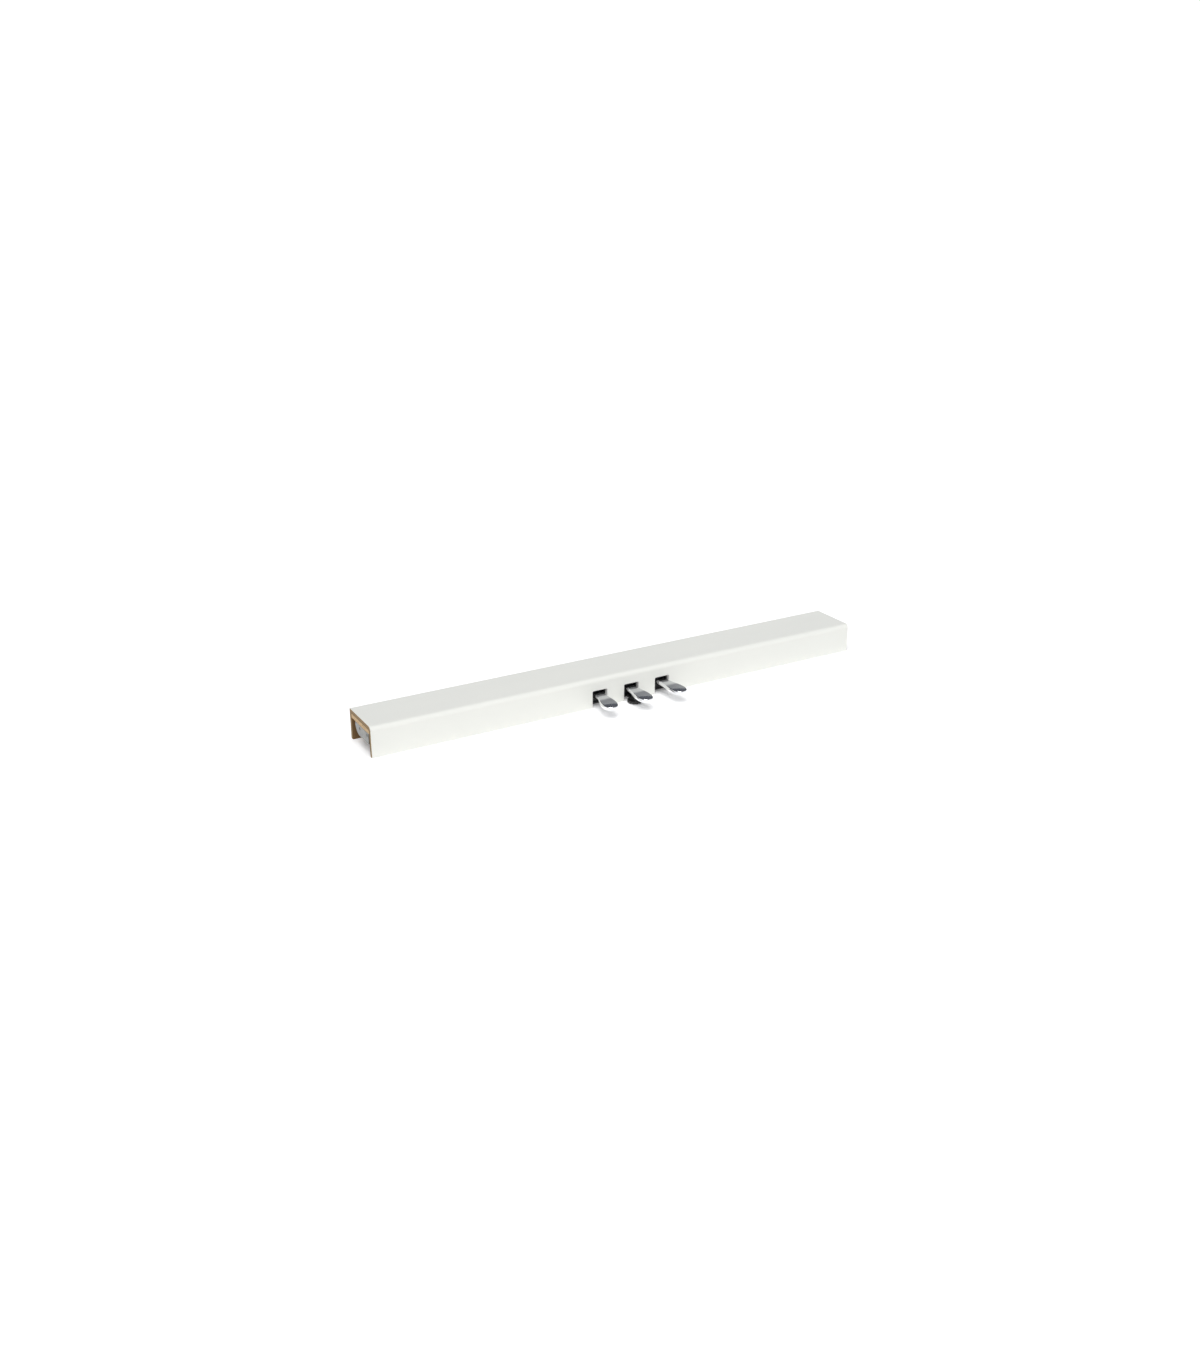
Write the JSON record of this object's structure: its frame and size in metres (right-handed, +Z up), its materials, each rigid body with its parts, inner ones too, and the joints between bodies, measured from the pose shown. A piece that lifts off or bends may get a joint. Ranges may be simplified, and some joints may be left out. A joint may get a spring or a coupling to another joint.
{
  "type": "digital piano pedal bar",
  "caption": "Long white foil-wrapped pedal bar for a digital piano stand, with three sprung chrome foot pedals in open-bottom notches and a screw-down height adjuster.",
  "frame": {"origin": "centre of the footprint at floor level", "axes": "+X along the bar to the player's right, -Y towards the player, +Z up"},
  "size_m": [1.22, 0.193, 0.068],
  "materials": {
    "board": "raw cut fibreboard, brown",
    "light_board": "raw particle board, light tan",
    "white_foil": "warm white foil, satin",
    "zinc_screw": "zinc plated",
    "galvanised_steel": "galvanised sheet, dull",
    "dark_steel": "black coated",
    "bright_steel": "turned",
    "stop_felt": "dense felt",
    "stop_rubber": "matte",
    "black_plastic": "fine texture",
    "knob_plastic": "satin",
    "brass": "plain",
    "circuit_board": "green lacquer",
    "white_plastic": "natural nylon",
    "board_parts": "moulded",
    "wire_insulation": "soft",
    "chrome_plate": "polished",
    "spring_steel": "oiled"
  },
  "bodies": {
    "bar": {"front_board": "board", "top_board": "board", "back_board": "board", "inner_top_board": "light_board", "outer_foil": "white_foil", "notch_edging": "white_foil", "board_joining_screws": "zinc_screw", "left_end_bracket": "galvanised_steel", "right_end_bracket": "galvanised_steel", "end_bracket_screws": "zinc_screw", "pedal_chassis": "dark_steel", "chassis_screws": "zinc_screw", "pivot_pins": "bright_steel", "pivot_clips": "dark_steel", "upper_stop_felts": "stop_felt", "lower_stop_pads": "stop_rubber", "housing_shell": "black_plastic", "housing_screws": "zinc_screw", "housing_bottom_cover": "black_plastic", "bottom_cover_screws": "zinc_screw", "adjuster_insert": "brass", "sensor_board": "circuit_board", "sensor_board_spacers": "white_plastic", "sensor_board_screws": "zinc_screw", "sensor_board_parts": "board_parts", "sensor_connector": "white_plastic", "sensor_wires": "wire_insulation", "sensor_wire_clips": "white_plastic", "socket_body": "black_plastic", "socket_pins": "brass", "socket_plate": "black_plastic", "socket_screws": "zinc_screw", "soft_pedal_spring": "spring_steel", "soft_pedal_sensor": "board_parts", "sostenuto_pedal_spring": "spring_steel", "sostenuto_pedal_sensor": "board_parts", "damper_pedal_spring": "spring_steel", "damper_pedal_sensor": "board_parts"},
    "soft_pedal_body": {"soft_pedal": "chrome_plate", "soft_pedal_bushes": "white_plastic", "soft_pedal_flag": "black_plastic"},
    "sostenuto_pedal_body": {"sostenuto_pedal": "chrome_plate", "sostenuto_pedal_bushes": "white_plastic", "sostenuto_pedal_flag": "black_plastic"},
    "damper_pedal_body": {"damper_pedal": "chrome_plate", "damper_pedal_bushes": "white_plastic", "damper_pedal_flag": "black_plastic"},
    "adjuster_pad_body": {"adjuster_pad": "stop_rubber"},
    "adjuster_knob_body": {"adjuster_knob": "knob_plastic", "adjuster_stem": "bright_steel"}
  },
  "joints": [
    {"name": "soft_pedal_hinge", "type": "hinge", "parent": "bar", "child": "soft_pedal_body", "pos_m": [-0.08, 0.0505, 0.027], "axis": [1, 0, 0], "range_deg": [0, 5], "stiffness_Nm_per_rad": 14.3, "springref_deg": -5.01, "deforming": ["soft_pedal_spring"]},
    {"name": "sostenuto_pedal_hinge", "type": "hinge", "parent": "bar", "child": "sostenuto_pedal_body", "pos_m": [0, 0.0505, 0.027], "axis": [1, 0, 0], "range_deg": [0, 5], "stiffness_Nm_per_rad": 14.3, "springref_deg": -5.01, "deforming": ["sostenuto_pedal_spring"]},
    {"name": "damper_pedal_hinge", "type": "hinge", "parent": "bar", "child": "damper_pedal_body", "pos_m": [0.08, 0.0505, 0.027], "axis": [1, 0, 0], "range_deg": [0, 5], "stiffness_Nm_per_rad": 14.3, "springref_deg": -5.01, "deforming": ["damper_pedal_spring"]},
    {"name": "adjuster_lift", "type": "slide", "parent": "bar", "child": "adjuster_pad_body", "axis": [0, 0, -1], "range_m": [0, 0.005]},
    {"name": "adjuster_turn", "type": "hinge", "parent": "adjuster_pad_body", "child": "adjuster_knob_body", "pos_m": [0, -0.0355, 0.004], "axis": [0, 0, -1], "range_deg": [0, 1440]}
  ],
  "couplings": [
    {"joint": "adjuster_turn", "follows": "adjuster_lift", "rad_per_m": 5026.5}
  ]
}
